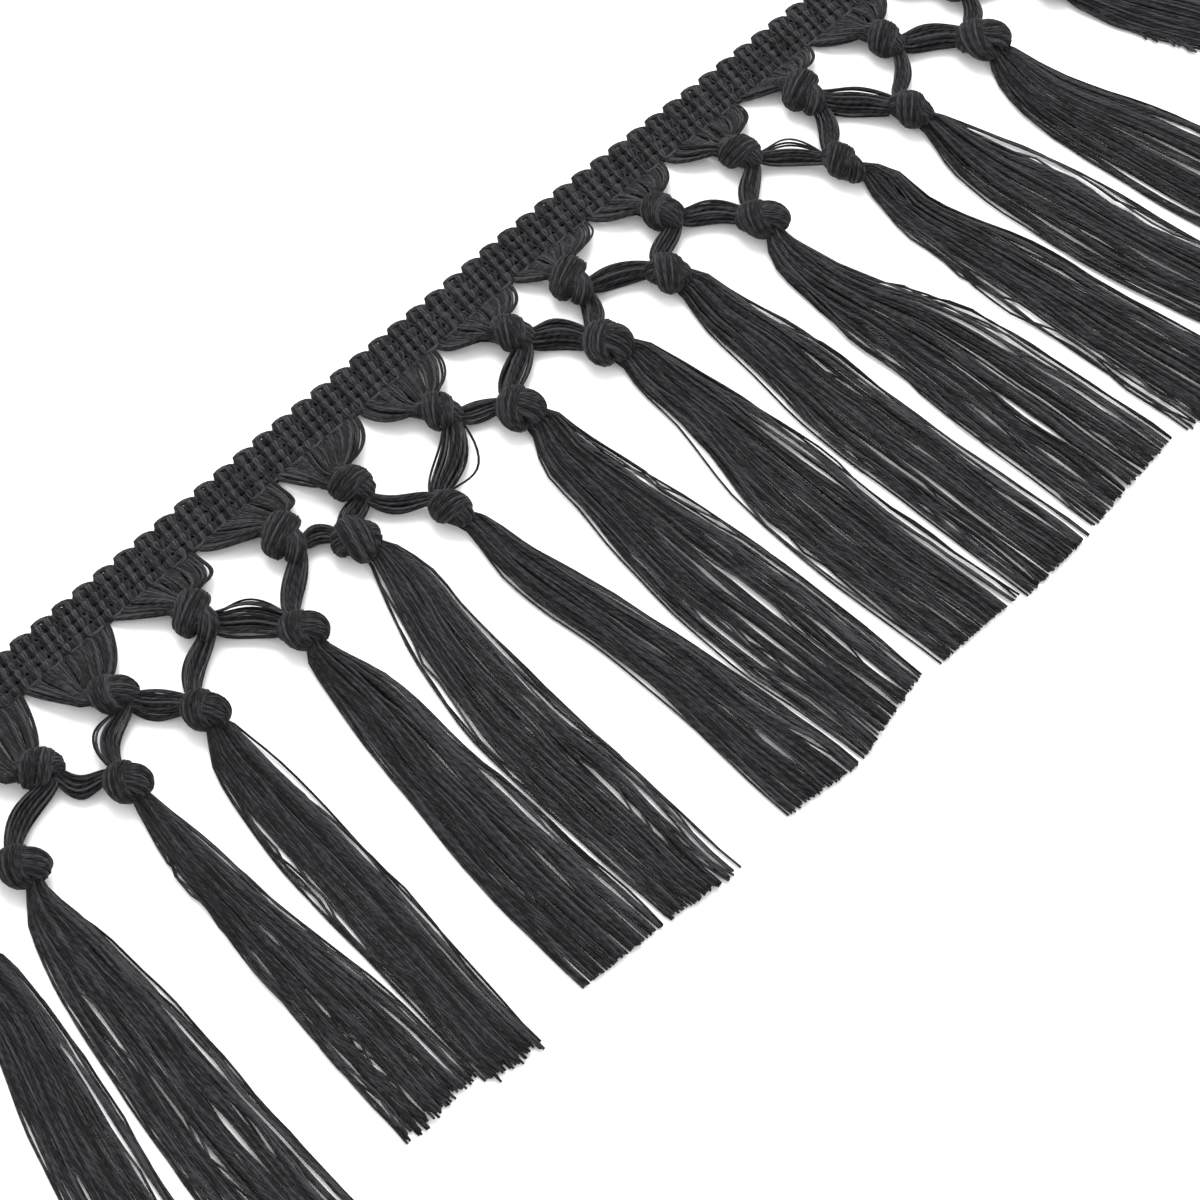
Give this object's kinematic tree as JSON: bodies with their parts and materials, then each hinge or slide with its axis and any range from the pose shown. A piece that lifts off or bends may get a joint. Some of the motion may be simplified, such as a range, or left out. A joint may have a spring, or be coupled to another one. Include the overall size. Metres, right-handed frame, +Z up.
{
  "type": "tassel fringe trim",
  "caption": "Black knotted tassel fringe: a narrow woven heading, scalloped yarn fans, two rows of knots joined by a net of links, and long cut tassels, lying flat.",
  "frame": {"origin": "middle of the heading's underside, the face that is sewn to a cloth", "axes": "+X along the heading, -Y from the heading to the tassel ends, +Z up from the surface it lies on"},
  "size_m": [0.4265, 0.1525, 0.0082],
  "materials": {
    "heading_yarn": "matt black yarn, woven in rows of small raised squares",
    "fringe_yarn": "matt black plied yarn with a slight soft sheen"
  },
  "bodies": {
    "root": {"heading": "heading_yarn", "fan_00": "fringe_yarn", "fan_01": "fringe_yarn", "fan_02": "fringe_yarn", "fan_03": "fringe_yarn", "fan_04": "fringe_yarn", "fan_05": "fringe_yarn", "fan_06": "fringe_yarn", "fan_07": "fringe_yarn", "fan_08": "fringe_yarn", "fan_09": "fringe_yarn", "fan_10": "fringe_yarn", "fan_11": "fringe_yarn", "fan_12": "fringe_yarn", "fan_13": "fringe_yarn", "link_left_00": "fringe_yarn", "link_right_00": "fringe_yarn", "link_left_01": "fringe_yarn", "link_right_01": "fringe_yarn", "link_left_02": "fringe_yarn", "link_right_02": "fringe_yarn", "link_left_03": "fringe_yarn", "link_right_03": "fringe_yarn", "link_left_04": "fringe_yarn", "link_right_04": "fringe_yarn", "link_left_05": "fringe_yarn", "link_right_05": "fringe_yarn", "link_left_06": "fringe_yarn", "link_right_06": "fringe_yarn", "link_left_07": "fringe_yarn", "link_right_07": "fringe_yarn", "link_left_08": "fringe_yarn", "link_right_08": "fringe_yarn", "link_left_09": "fringe_yarn", "link_right_09": "fringe_yarn", "link_left_10": "fringe_yarn", "link_right_10": "fringe_yarn", "link_left_11": "fringe_yarn", "link_right_11": "fringe_yarn", "link_left_12": "fringe_yarn", "link_right_12": "fringe_yarn", "link_left_13": "fringe_yarn", "link_right_13": "fringe_yarn", "tassel_00": "fringe_yarn", "tassel_01": "fringe_yarn", "tassel_02": "fringe_yarn", "tassel_03": "fringe_yarn", "tassel_04": "fringe_yarn", "tassel_05": "fringe_yarn", "tassel_06": "fringe_yarn", "tassel_07": "fringe_yarn", "tassel_08": "fringe_yarn", "tassel_09": "fringe_yarn", "tassel_10": "fringe_yarn", "tassel_11": "fringe_yarn", "tassel_12": "fringe_yarn", "tassel_13": "fringe_yarn", "tassel_14": "fringe_yarn"}
  },
  "joints": []
}
